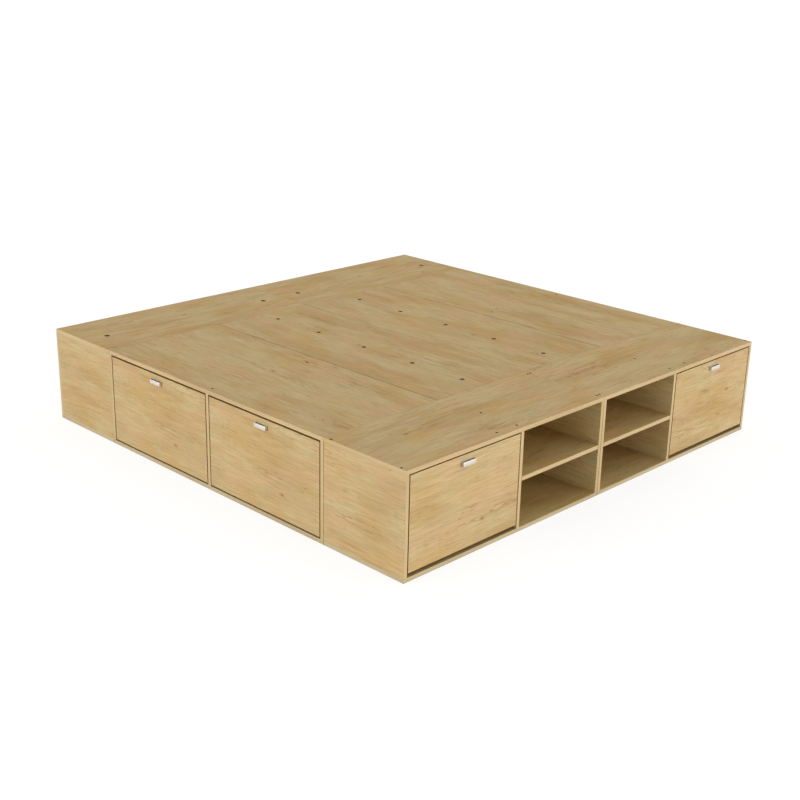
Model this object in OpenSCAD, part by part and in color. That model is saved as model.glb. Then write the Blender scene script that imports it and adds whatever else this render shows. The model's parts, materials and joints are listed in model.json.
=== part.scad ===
// Low square platform bed of six flat-pack box modules round a covered centre.
// Two front modules hold a drawer and two open niches each, two side modules hold
// two drawers each, two rear modules are chests under lift-off lids, and two
// pierced panels lie over the hollow centre. Millimetres, +Z up, the front with
// the niches faces -Y, and the origin is the centre of the whole, on the floor.

/* [Boards] */
// Thickness of the carcass boards, drawer fronts, lids and panels
board_t = 15; // [12:0.5:18]
// Thickness of the thin backs of the front modules and of the drawer bottoms
thin_t = 3; // [2.5:0.5:5]
// Thickness of the sides and back of a drawer box
drawer_board_t = 12; // [9:0.5:15]

/* [Bed] */
// Height of the sleeping surface above the floor
bed_h = 381; // [360:1:420]
// Width of one front module, about half the width of the bed
front_w = 998; // [960:1:1080]
// Depth of the front modules
front_d = 372; // [320:1:440]
// Length of the side modules, front to back
side_len = 1226; // [1140:1:1360]
// Depth of the side modules
side_d = 528; // [500:1:600]
// Depth of the rear modules
rear_d = 382; // [300:1:450]
// Gap between neighbouring modules
seam = 0.6; // [0.2:0.1:1]

/* [Front modules] */
// Clear width of the drawer bay in a front module
front_bay_w = 527; // [460:1:600]
// Clear height of the lower niche
niche_h = 171.5; // [140:0.5:200]
// Gap at each end of a niche shelf
shelf_gap = 0.5; // [0.3:0.1:1]
// Radius of a shelf pin
pin_r = 2.5; // [2:0.25:3]
// Length of a shelf pin inside the board
pin_in = 9; // [6:0.5:10]
// Length of a shelf pin under the shelf
pin_out = 8; // [6:0.5:12]
// Distance of a shelf pin from the front or back end of the shelf
pin_inset = 40; // [30:1:80]

/* [Drawer fronts] */
// Gap beside and above a front module's drawer front
front_reveal = 3; // [2:0.5:5]
// Gap below a front module's drawer front
front_reveal_low = 14.5; // [3:0.5:16]
// Gap beside a side module's drawer front
side_reveal = 3; // [1.5:0.5:4]
// Gap above a side module's drawer front
side_reveal_top = 5; // [2:0.5:8]
// Gap below a side module's drawer front
side_reveal_low = 6; // [2:0.5:16]

/* [Drawer boxes and slides] */
// Height of a drawer box
box_h = 240; // [160:1:280]
// Gap at the butted joints of a drawer box
glue_gap = 0.2; // [0.1:0.1:0.4]
// Height of a drawer box above the floor of its bay
box_lift = 20; // [17:1:30]
// Gap behind a front module's drawer box, which sets its length and its slides' length
front_box_gap = 4; // [3:1:60]
// Gap behind a side module's drawer box, which sets its length and its slides' length
side_box_gap = 48; // [5:1:120]
// Distance of the slides behind the drawer front
slide_setback = 1.5; // [1:0.25:2]
// Width that a slide takes between the bay and the drawer box
slide_w = 12.7; // [12.7:0.1:14]
// Height of a slide's cabinet rail
slide_h = 45; // [42:1:50]
// Sheet thickness of the slide rails
rail_t = 1.2; // [1:0.1:1.5]
// Gap between the lips of nested rails, where the bearing balls run
rail_gap = 0.5; // [0.4:0.1:0.9]
// Height of a slide's middle above the underside of the drawer box
slide_mid = 80; // [60:1:120]

/* [Pulls] */
// Width of a pull
pull_w = 60; // [50:1:90]
// Height of a pull
pull_h = 20; // [13:0.5:22]
// Distance that a pull stands out of the drawer front
pull_d = 10.5; // [9:0.5:16]
// Wall thickness of a pull
pull_t = 1.5; // [1:0.25:2]
// How much lower a pull's front wall is than its back plate
pull_lip_drop = 4; // [0:0.5:5]
// Distance of a pull below the top edge of the drawer front
pull_drop = 17.5; // [10:0.5:60]
// Distance between the two screws of a pull
pull_screws = 32; // [24:1:40]
// Radius of a pull screw's shank
pull_screw_r = 1.75; // [1.25:0.25:2]
// Length of a pull screw in the drawer front
pull_screw_len = 12; // [8:0.5:12]

/* [Lids and centre panels] */
// Gap round the lids and the centre panels
lid_gap = 1.5; // [0.75:0.25:3]
// Diameter of the finger holes in the lids
finger_d = 22; // [18:1:30]
// Distance of a finger hole from the end of its lid
finger_end = 100; // [60:1:200]
// Distance of a finger hole from the back edge of its lid
finger_back = 214; // [100:1:240]
// Width of the cleats under a lid
cleat_w = 30; // [20:1:60]
// Depth of the cleats under a lid
cleat_h = 25; // [15:1:40]
// Gap between a cleat and the boards round it
cleat_gap = 2; // [1:0.5:4]
// Diameter of the air holes in the centre panels
vent_d = 18; // [14:1:24]
// Distance of the outer air holes from the ends of a centre panel
vent_end = 93; // [60:1:160]
// Distance of the second air holes from the middle one
vent_pitch = 265; // [200:1:290]
// Height of the ledgers that carry the centre panels
ledger_h = 60; // [30:1:100]

/* [Fasteners] */
// Radius of a carcass screw's head
screw_head_r = 4.8; // [4:0.1:5]
// Height of a carcass screw's straight head
screw_head_h = 1.5; // [1:0.25:2.5]
// Radius of a carcass screw's smooth neck
screw_neck_r = 3.5; // [3:0.1:3.8]
// Radius of a carcass screw's thread
screw_r = 2.5; // [2:0.1:2.8]
// Length of a carcass screw
screw_len = 48; // [38:1:50]
// Distance of a screw head below the board's face
screw_sink = 1.2; // [0.5:0.1:2]
// Distance of the front module screws from the front and back edges
screw_edge = 28; // [20:1:60]
// Distance of a side module's outer screw from the bed's side face
side_screw_out = 25; // [20:1:60]
// Distance of a side module's inner screw from the module's back
side_screw_in = 58; // [40:1:100]
// Distance of a rear module's screws from the top and bottom boards
rear_screw_z = 45; // [30:1:100]
// Radius of a joining bolt's sleeve
bolt_r = 3.9; // [3:0.1:4.5]
// Radius of a joining bolt's heads
bolt_head_r = 7; // [6:0.5:9]
// Thickness of a joining bolt's heads
bolt_head_t = 2; // [1.5:0.25:3]
// Clearance all round a screw, bolt or pin in its hole
fit = 0.1; // [0.05:0.05:0.2]

/* [Hidden] */
$fn = 32;
LEFT = -1;
RIGHT = 1;
OAK = [0.80, 0.68, 0.49];
OAK_TOP = [0.72, 0.62, 0.44];
OAK_DARK = [0.62, 0.52, 0.36];
METAL = [0.80, 0.81, 0.82];
ZINC = [0.62, 0.63, 0.64];
DARK_STEEL = [0.22, 0.19, 0.15];

over = 1;                                    // overrun of a cutting shape
bay_h = bed_h - 2 * board_t;                 // clear height inside every module
top_z = bed_h - board_t;                     // underside of the top boards
bed_len = front_d + side_len + rear_d + 2 * seam;  // front face to back face
y_front = (pull_d - bed_len) / 2;            // the front face, with pulls the whole is centred
y_side = y_front + front_d + seam;           // where the side modules start
y_rear = y_side + side_len + seam;           // where the rear modules start
y_back = y_rear + rear_d;                    // the back face
x_mid = -seam / 2;                           // where the left modules end
x_left = x_mid - front_w;                    // the left face
x_centre = x_left + side_d;                  // where the hollow centre starts
divider_x = x_left + board_t + front_bay_w;  // outer face of the front divider
inner_x = x_mid - board_t;                   // niche face of the inner side board
side_bay_w = (side_len - 3 * board_t) / 2;   // clear width of a side drawer bay
shelf_z = board_t + niche_h;                 // underside of a niche shelf
front_in_d = front_d - thin_t;               // depth in front of the thin back
front_slide = front_in_d - board_t - front_box_gap;   // length of a front slide
side_slide = side_d - 2 * board_t - side_box_gap;     // length of a side slide
bolt_len = 2 * board_t + seam;               // length of a joining bolt between its heads
rail_step = rail_t + rail_gap;               // from one nested rail to the next
rail_depth = slide_w - 2 * rail_step;        // how far each rail's lips reach

// One drawer bay: name, place of the middle of its face, turn about Z, clear width,
// slide length, and the gaps beside, above and below the drawer front.
function side_bay(name, side, row) = [
    name,
    [-side * x_left, y_side + board_t + side_bay_w / 2 + row * (side_bay_w + board_t)],
    side * 90, side_bay_w, side_slide, side_reveal, side_reveal_top, side_reveal_low];
function front_bay(name, side) = [
    name,
    [-side * (x_left + board_t + front_bay_w / 2), y_front],
    0, front_bay_w, front_slide, front_reveal, front_reveal, front_reveal_low];
BAYS = [
    front_bay("front_left", LEFT),
    front_bay("front_right", RIGHT),
    side_bay("left_front", LEFT, 0),
    side_bay("left_rear", LEFT, 1),
    side_bay("right_front", RIGHT, 0),
    side_bay("right_rear", RIGHT, 1)];
function bay_name(bay) = bay[0];
function bay_place(bay) = [bay[1][0], bay[1][1], 0];
function bay_turn(bay) = bay[2];
function bay_w(bay) = bay[3];
function bay_slide(bay) = bay[4];
function bay_reveal(bay) = bay[5];
function front_low(bay) = board_t + bay[7];
function front_high(bay) = top_z - bay[6];
function box_w(bay) = bay_w(bay) - 2 * slide_w;

BED_PIECES = [
    "front_left_top", "front_right_top", "front_bottoms", "front_outer_sides",
    "front_inner_sides", "front_dividers", "front_shelves", "front_backs",
    "left_top", "right_top", "side_bottoms", "side_end_boards", "side_dividers",
    "side_backs", "rear_bottoms", "rear_end_boards", "rear_back_boards",
    "rear_front_boards", "centre_beam", "centre_ledgers", "cabinet_rails",
    "carcass_screws", "shelf_pins", "joining_bolts",
    "rear_left_lid", "rear_right_lid", "rear_left_lid_cleats", "rear_right_lid_cleats",
    "centre_left_panel", "centre_right_panel"];
DRAWER_PIECES = ["drawer_front", "drawer_box", "pull", "drawer_rails", "middle_rails"];

// ---- placing helpers ----

// Everything is drawn for the left half of the bed and mirrored for the right half.
module half(side) {
    if (side == LEFT) children();
    else mirror([1, 0, 0]) children();
}

module both_halves() {
    half(LEFT) children();
    half(RIGHT) children();
}

// A board given by its low corner and its size.
module board(low, size) {
    translate(low) cube(size);
}

// Puts a drawer piece into its bay: x runs across the bay, y inwards from its face.
module in_bay(bay) {
    translate(bay_place(bay)) rotate([0, 0, bay_turn(bay)]) children();
}

// ---- fasteners ----

// A carcass screw whose head lies at the origin, pointing down, grown by a clearance.
module screw(grow = 0) {
    neck = board_t - screw_sink;
    cone = screw_head_r - screw_neck_r;
    rotate_extrude()
        polygon([
            [0, grow], [screw_head_r + grow, grow],
            [screw_head_r + grow, -screw_head_h],
            [screw_neck_r + grow, -screw_head_h - cone],
            [screw_neck_r + grow, -neck],
            [screw_r + grow, -neck - grow],
            [screw_r + grow, -screw_len - grow], [0, -screw_len - grow]]);
}

// The hole that a screw leaves in the boards, open to the face above its head.
module screw_hole() {
    screw(fit);
    cylinder(r = screw_head_r + fit, h = screw_sink + over);
}

// One screw with its six-sided socket.
module socket_screw() {
    difference() {
        screw();
        translate([0, 0, -screw_head_r / 2])
            cylinder(r = screw_head_r / 2, h = screw_head_r, $fn = 6);
    }
}

// Screws of a front module, left half: two rows over the sides, one over the divider.
function front_screw_spots() =
    let (outer = x_left + board_t / 2, inner = inner_x + board_t / 2, middle = divider_x + board_t / 2)
    [[outer, screw_edge], [outer, front_d - screw_edge],
     [inner, screw_edge], [inner, front_d - screw_edge],
     [middle, screw_edge], [middle, front_d / 2]];

// Screws of a side module, left half, over its divider.
function side_screw_spots() =
    [[x_left + side_screw_out, y_side + side_len / 2],
     [x_centre - side_screw_in, y_side + side_len / 2]];

module at_top_and_bottom_spots(spots, shift) {
    for (spot = spots) {
        translate([spot[0], spot[1] + shift, bed_h - screw_sink]) children();
        translate([spot[0], spot[1] + shift, screw_sink]) mirror([0, 0, 1]) children();
    }
}

// Screws of a rear module, left half: from the back board into the end boards.
module at_rear_spots() {
    for (x = [x_left, inner_x], z = [board_t + rear_screw_z, top_z - rear_screw_z])
        translate([x + board_t / 2, y_back - screw_sink, z]) rotate([-90, 0, 0]) children();
}

module at_front_screws() {
    at_top_and_bottom_spots(front_screw_spots(), y_front) children();
}

module at_side_screws() {
    at_top_and_bottom_spots(side_screw_spots(), 0) children();
}

// Bolts that join neighbouring modules, each seen along the two boards it goes through.
module at_bolts() {
    for (x = [x_left + side_d / 4, x_left + 3 * side_d / 4])
        translate([x, y_rear - seam / 2, bed_h / 2]) rotate([90, 0, 0]) children();
}

module at_middle_bolts() {
    for (y = [y_rear + rear_d / 3, y_rear + 2 * rear_d / 3])
        translate([0, y, bed_h / 2]) rotate([0, 90, 0]) children();
}

module bolt_hole() {
    cylinder(r = bolt_r + fit, h = bolt_len + 2 * over, center = true);
}

module joining_bolt() {
    cylinder(r = bolt_r, h = bolt_len, center = true);
    for (end = [0, 1]) mirror([0, 0, end])
        translate([0, 0, bolt_len / 2]) cylinder(r = bolt_head_r, h = bolt_head_t);
}

// ---- front modules ----

module front_board_x(x) {
    difference() {
        board([x, y_front, board_t], [board_t, front_d, bay_h]);
        at_front_screws() screw_hole();
        at_pins(pin_in + fit) pin(fit);
    }
}

module front_top(side) {
    spare_x = x_mid + x_left - divider_x - board_t / 2;
    color(OAK_TOP) half(side) difference() {
        board([x_left, y_front, top_z], [front_w, front_d, board_t]);
        at_front_screws() screw_hole();
        translate([spare_x, y_front + screw_edge, top_z - over])
            cylinder(r = screw_neck_r + fit, h = board_t + 2 * over);
        translate([spare_x, y_front + screw_edge, bed_h - screw_sink - screw_head_h])
            cylinder(r = screw_head_r + fit, h = screw_sink + screw_head_h + over);
    }
}

module front_bottoms() {
    color(OAK) both_halves() difference() {
        board([x_left, y_front, 0], [front_w, front_d, board_t]);
        at_front_screws() screw_hole();
    }
}

module front_outer_sides() {
    color(OAK) both_halves() front_board_x(x_left);
}

module front_inner_sides() {
    color(OAK_DARK) both_halves() front_board_x(inner_x);
}

module front_dividers() {
    color(OAK_DARK) both_halves() difference() {
        board([divider_x, y_front, board_t], [board_t, front_in_d, bay_h]);
        at_front_screws() screw_hole();
        at_pins(pin_in + fit) pin(fit);
    }
}

module front_shelves() {
    niche_x = divider_x + board_t;
    color(OAK) both_halves()
        board([niche_x + shelf_gap, y_front, shelf_z],
              [inner_x - niche_x - 2 * shelf_gap, front_in_d - shelf_gap, board_t]);
}

module front_backs() {
    color(OAK_DARK) both_halves()
        board([x_left + board_t, y_front + front_in_d, board_t], [front_w - 2 * board_t, thin_t, bay_h]);
}

// The four pins under a niche shelf, each along X from the wall it sits in.
module at_pins(depth) {
    for (y = [pin_inset, front_in_d - pin_inset]) {
        translate([divider_x + board_t - depth, y_front + y, shelf_z - pin_r]) rotate([0, 90, 0]) children();
        translate([inner_x + depth, y_front + y, shelf_z - pin_r]) rotate([0, -90, 0]) children();
    }
}

module pin(grow = 0) {
    cylinder(r = pin_r + grow, h = pin_in + pin_out);
}

module shelf_pins() {
    color(ZINC) both_halves() at_pins(pin_in) pin();
}

// ---- side modules ----

module side_top(side) {
    color(OAK_TOP) half(side) difference() {
        board([x_left, y_side, top_z], [side_d, side_len, board_t]);
        at_side_screws() screw_hole();
    }
}

module side_bottoms() {
    color(OAK) both_halves() difference() {
        board([x_left, y_side, 0], [side_d, side_len, board_t]);
        at_side_screws() screw_hole();
    }
}

module side_end_boards() {
    color(OAK) both_halves() difference() {
        for (y = [y_side, y_rear - board_t])
            board([x_left, y, board_t], [side_d, board_t, bay_h]);
        at_bolts() bolt_hole();
    }
}

module side_dividers() {
    color(OAK) both_halves() difference() {
        board([x_left, y_side + board_t + side_bay_w, board_t], [side_d - board_t, board_t, bay_h]);
        at_side_screws() screw_hole();
    }
}

module side_backs() {
    color(OAK_DARK) both_halves()
        board([x_centre - board_t, y_side + board_t, board_t], [board_t, side_len - 2 * board_t, bay_h]);
}

// ---- rear modules ----

module rear_bottoms() {
    color(OAK) both_halves() board([x_left, y_rear, 0], [front_w, rear_d, board_t]);
}

module rear_end_boards() {
    color(OAK) both_halves() difference() {
        for (x = [x_left, inner_x])
            board([x, y_rear, board_t], [board_t, rear_d - board_t, bay_h]);
        at_rear_spots() screw_hole();
        at_middle_bolts() bolt_hole();
    }
}

module rear_back_boards() {
    color(OAK) both_halves() difference() {
        board([x_left, y_back - board_t, board_t], [front_w, board_t, bay_h]);
        at_rear_spots() screw_hole();
    }
}

module rear_front_boards() {
    color(OAK_DARK) both_halves() difference() {
        board([x_left + board_t, y_rear, board_t], [front_w - 2 * board_t, board_t, bay_h]);
        at_bolts() bolt_hole();
    }
}

module rear_lid(side) {
    lid_low = y_rear - seam + lid_gap;
    color(OAK_TOP) half(side) difference() {
        board([x_left, lid_low, top_z], [-lid_gap / 2 - x_left, y_back - lid_low, board_t]);
        for (x = [x_left + finger_end, x_mid - finger_end])
            translate([x, y_back - finger_back, top_z - over])
                cylinder(d = finger_d, h = board_t + 2 * over, $fn = 48);
    }
}

module rear_lid_cleats(side) {
    inside_d = rear_d - 2 * board_t - 2 * cleat_gap;
    color(OAK_DARK) half(side)
        for (x = [x_left + board_t + cleat_gap, inner_x - cleat_gap - cleat_w])
            board([x, y_rear + board_t + cleat_gap, top_z - cleat_h], [cleat_w, inside_d, cleat_h]);
}

// ---- hollow centre ----

module centre_beam() {
    color(OAK_DARK) both_halves() board([inner_x, y_side, 0], [board_t, side_len, top_z]);
}

module centre_ledgers() {
    color(OAK_DARK) both_halves()
        board([x_centre, y_side, top_z - ledger_h], [board_t, side_len, ledger_h]);
}

module centre_panel(side) {
    low = [x_centre + lid_gap, y_side - seam + lid_gap, top_z];
    high = [-lid_gap / 2, y_rear - seam, bed_h];
    middle = y_side + side_len / 2;
    reach = side_len / 2 - vent_end;
    color(OAK_TOP) half(side) difference() {
        board(low, high - low);
        for (y = [-reach, -vent_pitch, 0, vent_pitch, reach])
            translate([x_centre / 2, middle + y, top_z - over])
                cylinder(d = vent_d, h = board_t + 2 * over, $fn = 48);
    }
}

// ---- slides ----

// A rail of C section lying along Y, its web at x = 0 and its lips towards +X.
module c_rail(length, height, lips) {
    half_h = height / 2;
    translate([0, length, 0]) rotate([90, 0, 0]) linear_extrude(length)
        polygon([
            [0, -half_h], [lips, -half_h], [lips, rail_t - half_h], [rail_t, rail_t - half_h],
            [rail_t, half_h - rail_t], [lips, half_h - rail_t], [lips, half_h], [0, half_h]]);
}

// Puts a pair of rails at the two walls of a bay. Step 0 is the rail on the bay wall,
// 1 the middle rail and 2 the rail on the drawer box, whose lips face the wall.
module rail_pair(bay, step) {
    height = slide_h - 2 * step * rail_step;
    z = board_t + box_lift + slide_mid;
    for (side = [0, 1]) mirror([side, 0, 0])
        translate([-bay_w(bay) / 2, board_t + slide_setback, z])
            if (step < 2) translate([step * rail_step, 0, 0]) c_rail(bay_slide(bay), height, rail_depth);
            else translate([slide_w, 0, 0]) mirror([1, 0, 0]) c_rail(bay_slide(bay), height, rail_depth);
}

module cabinet_rails() {
    color(ZINC) for (bay = BAYS) in_bay(bay) rail_pair(bay, 0);
}

module middle_rails(bay) {
    color(ZINC) in_bay(bay) rail_pair(bay, 1);
}

module drawer_rails(bay) {
    color(ZINC) in_bay(bay) rail_pair(bay, 2);
}

// ---- drawers ----

module at_pull_screws(bay) {
    for (x = [-pull_screws / 2, pull_screws / 2])
        translate([x, 0, front_high(bay) - pull_drop - pull_h / 2]) rotate([-90, 0, 0]) children();
}

module drawer_front(bay) {
    color(OAK) in_bay(bay) difference() {
        board([bay_reveal(bay) - bay_w(bay) / 2, 0, front_low(bay)],
              [bay_w(bay) - 2 * bay_reveal(bay), board_t, front_high(bay) - front_low(bay)]);
        at_pull_screws(bay) cylinder(r = pull_screw_r + fit, h = 2 * (pull_screw_len + fit), center = true);
    }
}

module drawer_box(bay) {
    wide = box_w(bay);
    long = bay_slide(bay);
    wall_z = thin_t + glue_gap;
    back_x = drawer_board_t + glue_gap;
    color(OAK_DARK) in_bay(bay) translate([-wide / 2, board_t, board_t + box_lift]) {
        board([0, 0, 0], [wide, long, thin_t]);
        for (x = [0, wide - drawer_board_t])
            board([x, 0, wall_z], [drawer_board_t, long, box_h - wall_z]);
        board([back_x, long - drawer_board_t, wall_z],
              [wide - 2 * back_x, drawer_board_t, box_h - wall_z]);
    }
}

// A cup pull, whose finger pocket is open at the top before a taller back plate, and its
// two flat-headed screws.
module pull(bay) {
    low = front_high(bay) - pull_drop - pull_h;
    head_t = pull_screw_r / 2;
    color(METAL) in_bay(bay) {
        difference() {
            board([-pull_w / 2, -pull_d, low], [pull_w, pull_d, pull_h]);
            board([pull_t - pull_w / 2, pull_t - pull_d, low + pull_t],
                  [pull_w - 2 * pull_t, pull_d - 2 * pull_t, pull_h]);
            board([-pull_w / 2 - over, -pull_d - over, low + pull_h - pull_lip_drop],
                  [pull_w + 2 * over, pull_d - pull_t + over, pull_h]);
            at_pull_screws(bay) cylinder(r = pull_screw_r + fit, h = 2 * (pull_t + over), center = true);
        }
        at_pull_screws(bay) translate([0, 0, -pull_t - head_t - fit]) {
            cylinder(r = 2 * pull_screw_r, h = head_t);
            cylinder(r = pull_screw_r, h = head_t + pull_t + pull_screw_len);
        }
    }
}

// ---- screws and bolts ----

module carcass_screws() {
    color(DARK_STEEL) both_halves() {
        at_front_screws() socket_screw();
        at_side_screws() socket_screw();
        at_rear_spots() socket_screw();
    }
}

module joining_bolts() {
    color(ZINC) {
        both_halves() at_bolts() joining_bolt();
        at_middle_bolts() joining_bolt();
    }
}

front_top(LEFT);  // front_left_top
front_top(RIGHT);  // front_right_top
front_bottoms();
front_outer_sides();
front_inner_sides();
front_dividers();
front_shelves();
front_backs();
side_top(LEFT);  // left_top
side_top(RIGHT);  // right_top
side_bottoms();
side_end_boards();
side_dividers();
side_backs();
rear_bottoms();
rear_end_boards();
rear_back_boards();
rear_front_boards();
centre_beam();
centre_ledgers();
cabinet_rails();
carcass_screws();
shelf_pins();
joining_bolts();
rear_lid(LEFT);  // rear_left_lid
rear_lid(RIGHT);  // rear_right_lid
rear_lid_cleats(LEFT);  // rear_left_lid_cleats
rear_lid_cleats(RIGHT);  // rear_right_lid_cleats
centre_panel(LEFT);  // centre_left_panel
centre_panel(RIGHT);  // centre_right_panel
for (bay = BAYS) {
    drawer_front(bay);
    drawer_box(bay);
    pull(bay);
    drawer_rails(bay);
    middle_rails(bay);
}
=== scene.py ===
import json
import math
import random
from itertools import product

import bmesh
import bpy
from mathutils import Matrix, Vector


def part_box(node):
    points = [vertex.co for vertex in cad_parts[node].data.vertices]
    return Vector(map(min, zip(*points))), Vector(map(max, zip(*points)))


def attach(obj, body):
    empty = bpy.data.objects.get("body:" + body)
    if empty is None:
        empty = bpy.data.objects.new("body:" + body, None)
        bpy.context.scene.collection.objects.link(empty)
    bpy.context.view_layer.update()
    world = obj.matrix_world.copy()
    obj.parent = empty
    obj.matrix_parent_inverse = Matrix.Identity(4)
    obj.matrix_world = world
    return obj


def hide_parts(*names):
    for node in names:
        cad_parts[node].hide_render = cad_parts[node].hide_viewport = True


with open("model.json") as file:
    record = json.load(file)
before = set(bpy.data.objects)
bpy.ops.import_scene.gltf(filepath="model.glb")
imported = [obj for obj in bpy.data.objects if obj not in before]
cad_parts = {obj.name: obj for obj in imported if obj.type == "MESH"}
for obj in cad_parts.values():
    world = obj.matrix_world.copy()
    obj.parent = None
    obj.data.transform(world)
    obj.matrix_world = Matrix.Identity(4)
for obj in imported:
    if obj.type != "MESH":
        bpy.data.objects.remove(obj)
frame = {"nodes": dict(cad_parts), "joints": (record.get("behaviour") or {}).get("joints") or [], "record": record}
solids = frame["nodes"]
bodies = frame["record"]["behaviour"]["bodies"]
carried_by = {node: body for body, names in bodies.items() for node in names}
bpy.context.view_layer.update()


def add(name, data):
    """A new object in the scene."""
    made = bpy.data.objects.new(name, data)
    bpy.context.scene.collection.objects.link(made)
    return made


# %% [markdown]
# ## The camera
#
# The photograph looks at one corner from above, with the bed's far sides running to
# two vanishing points. Its place, turn and lens come from fitting the edges of the
# real-size bed to those in the picture. A turn is safest written as the three
# directions of the camera: right, up and back.
# %% Set the camera
CAMERA_PLACE = Vector((-3.55783, -3.46032, 1.88925))
CAMERA_TURN, CAMERA_RISE, CAMERA_ROLL = (math.radians(a) for a in (-135.5805, 19.7889, 1.2950))
CAMERA_LENS = 57.728


def camera_axes(turn, rise, roll):
    back = Vector((math.cos(rise) * math.cos(turn), math.cos(rise) * math.sin(turn), math.sin(rise)))
    right = Vector((0, 0, 1)).cross(back).normalized()
    up = back.cross(right)
    right, up = (
        right * math.cos(roll) + up * math.sin(roll),
        up * math.cos(roll) - right * math.sin(roll),
    )
    return Matrix((right, up, back)).transposed().to_4x4()


camera = add("camera", bpy.data.cameras.new("camera"))
camera.data.lens = CAMERA_LENS
camera.matrix_world = Matrix.Translation(CAMERA_PLACE) @ camera_axes(CAMERA_TURN, CAMERA_RISE, CAMERA_ROLL)
bpy.context.scene.camera = camera
bpy.context.scene.view_settings.view_transform = "Standard"
print("camera", [round(v, 3) for v in CAMERA_PLACE], "lens", CAMERA_LENS)

# %% [markdown]
# ## Writing node trees as Python
#
# Both materials and Geometry Nodes are trees of nodes joined by links. Written out
# one node at a time they are hard to read, so one small class adds a node and
# returns its output, and the output joins in arithmetic: `1 - mask` adds the Math
# node that subtracts. Node settings are made before the sockets are filled.
# %% A graph helper
class Link:
    """An output that Python arithmetic can use, each step adding a Math node."""

    def __init__(self, graph, socket):
        self.graph, self.socket = graph, socket

    def __add__(self, other):
        return self.graph.math("ADD", self, other)

    def __sub__(self, other):
        return self.graph.math("SUBTRACT", self, other)

    def __rsub__(self, other):
        return self.graph.math("SUBTRACT", other, self)

    def __mul__(self, other):
        return self.graph.math("MULTIPLY", self, other)

    __radd__ = __add__
    __rmul__ = __mul__

    def __pow__(self, power):
        return self.graph.math("POWER", self, power)


class Graph:
    """A node tree of a finish or of a maker of repeated pieces."""

    def __init__(self, tree):
        self.tree = tree

    def node(self, kind, settings=None, inputs=None, output=0):
        made = self.tree.nodes.new(kind)
        for name, value in (settings or {}).items():
            if name == "stops":
                ramp = made.color_ramp
                while len(ramp.elements) < len(value):
                    ramp.elements.new(0.5)
                for element, (place, colour) in zip(ramp.elements, value):
                    element.position, element.color = place, colour
            else:
                setattr(made, name, value)
        for name, value in (inputs or {}).items():
            for one in value if isinstance(value, list) else [value]:
                if isinstance(one, Link):
                    self.tree.links.new(one.socket, made.inputs[name])
                else:
                    made.inputs[name].default_value = one
        return Link(self, made.outputs[output])

    def math(self, operation, *values):
        return self.node("ShaderNodeMath", {"operation": operation}, dict(enumerate(values)))


# %% [markdown]
# ## Finishes
#
# The boards are chipboard with a printed oak film, so the grain is a flat picture
# that lies along each board. It reads a UV map in metres that every board lays out
# for itself, with its X along the grain. Four things make the print: slow warm and
# pale bands, growth rings that swell into flames, fine fibres with short dark pores,
# and a small knot here and there. The rings are the contour lines of a stretched
# noise, which gives long lines that open into pointed arches.
# %% Colours and a finish to start from
def paint(red, green, blue):
    """A colour given as it looks on a screen, 0 to 255, as the linear light that Blender uses."""
    shares = (part / 255 for part in (red, green, blue))
    return (*(v / 12.92 if v <= 0.04045 else ((v + 0.055) / 1.055) ** 2.4 for v in shares), 1)


class Finish(Graph):
    """A material with one Principled shader, whose sockets are set by name."""

    def __init__(self, name, **sockets):
        self.material = bpy.data.materials.new(name)
        self.material.use_nodes = True
        super().__init__(self.material.node_tree)
        self.shader = self.tree.nodes["Principled BSDF"]
        self.set(**sockets)

    def set(self, **sockets):
        for name, value in sockets.items():
            socket = self.shader.inputs[name.replace("_", " ").title().replace("Ior", "IOR")]
            if isinstance(value, Link):
                self.tree.links.new(value.socket, socket)
            else:
                socket.default_value = value

    def mix(self, factor, first, second):
        return self.node("ShaderNodeMix", {"data_type": "RGBA"}, {0: factor, 6: first, 7: second}, output=2)

    def vector(self, operation, *values, output=0):
        return self.node("ShaderNodeVectorMath", {"operation": operation}, dict(enumerate(values)), output)

    def stretch(self, place, *scale):
        return self.vector("MULTIPLY", place, scale)

    def noise(self, place, scale, detail=2.0, rough=0.5):
        """Noise in 2D or 3D, as the scale has two or three parts."""
        place = self.stretch(place, *scale, *[1] * (3 - len(scale)))
        return self.node(
            "ShaderNodeTexNoise",
            {"noise_dimensions": f"{len(scale)}D"},
            {"Vector": place, "Scale": 1.0, "Detail": detail, "Roughness": rough},
        )

    def step(self, value, low, high, start=0.0, end=1.0):
        """A soft step from start to end as value goes from low to high."""
        return self.node(
            "ShaderNodeMapRange",
            {"interpolation_type": "SMOOTHSTEP"},
            {"Value": value, "From Min": low, "From Max": high, "To Min": start, "To Max": end},
        )

    def relief(self, height, strength, distance):
        return self.node("ShaderNodeBump", {}, {"Height": height, "Strength": strength, "Distance": distance})

    def blot(self, place, middle, reach):
        """1 in the middle of an ellipse on the print, and softly 0 past its rim."""
        away = self.stretch(self.vector("SUBTRACT", place, (*middle, 0)), 1 / reach[0], 1 / reach[1], 0)
        return self.step(self.vector("LENGTH", away, output=1), 0.25, 1.15, 1, 0)


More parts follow.
